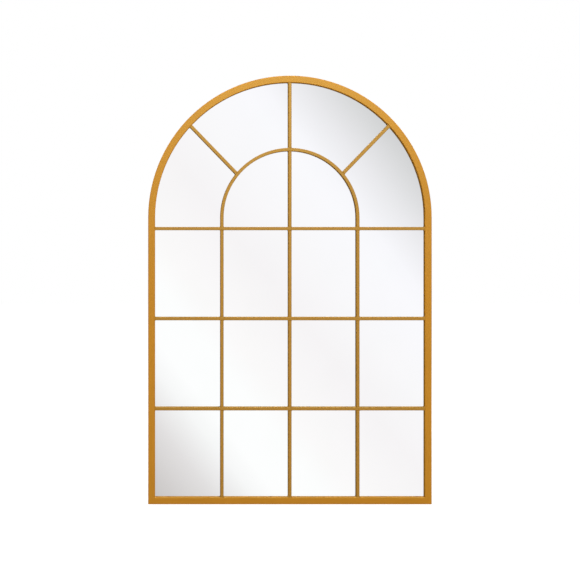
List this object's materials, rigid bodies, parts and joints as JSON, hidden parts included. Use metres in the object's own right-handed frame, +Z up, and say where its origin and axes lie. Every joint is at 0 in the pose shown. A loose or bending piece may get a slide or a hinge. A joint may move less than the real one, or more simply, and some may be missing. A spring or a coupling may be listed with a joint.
{
  "type": "arched wall mirror",
  "caption": "Tall arched wall mirror with a painted metal frame, a window-style grid of bars over the glass, and swinging hanging rings behind.",
  "frame": {"origin": "on the wall plane, midway between the two points where the raised rings bear on their hooks", "axes": "+X to the right for a viewer in front of the mirror, +Y from the mirror into the wall, +Z up. The mirror faces -Y."},
  "size_m": [0.61, 0.021, 0.9218],
  "materials": {
    "gold_paint": "satin metallic gold paint, slightly brushed",
    "mirror": "polished float glass, silvered on its back",
    "hardboard": "smooth brown hardboard",
    "zinc_steel": "bright zinc plating",
    "rubber": "matt black rubber",
    "foam": "closed-cell foam"
  },
  "bodies": {
    "mirror": {"front_hoop": "gold_paint", "bottom_rail": "gold_paint", "rebate_hoop": "gold_paint", "rebate_rail": "gold_paint", "centre_muntin": "gold_paint", "inner_hoop": "gold_paint", "lower_crossbar": "gold_paint", "middle_crossbar": "gold_paint", "top_crossbar": "gold_paint", "left_spoke": "gold_paint", "right_spoke": "gold_paint", "board_clips": "zinc_steel", "clip_screws": "zinc_steel", "hanger_screws": "zinc_steel", "left_hanger_plate": "zinc_steel", "right_hanger_plate": "zinc_steel", "left_strap": "zinc_steel", "right_strap": "zinc_steel", "strap_rivets": "zinc_steel", "upper_left_bumper": "rubber", "upper_right_bumper": "rubber", "lower_left_bumper": "rubber", "lower_right_bumper": "rubber", "setting_blocks": "rubber", "mirror_glass": "mirror", "backing_board": "hardboard", "glazing_tape": "foam", "glass_pads": "foam", "foam_sheet": "foam"},
    "left_ring": {"left_ring": "zinc_steel"},
    "right_ring": {"right_ring": "zinc_steel"}
  },
  "joints": [
    {"name": "left_ring_swing", "type": "hinge", "parent": "mirror", "child": "left_ring", "pos_m": [-0.281, -0.00315, -0.02075], "axis": [1, 0, 0], "range_deg": [-2, 182]},
    {"name": "right_ring_swing", "type": "hinge", "parent": "mirror", "child": "right_ring", "pos_m": [0.281, -0.00315, -0.02075], "axis": [1, 0, 0], "range_deg": [-2, 182]}
  ]
}
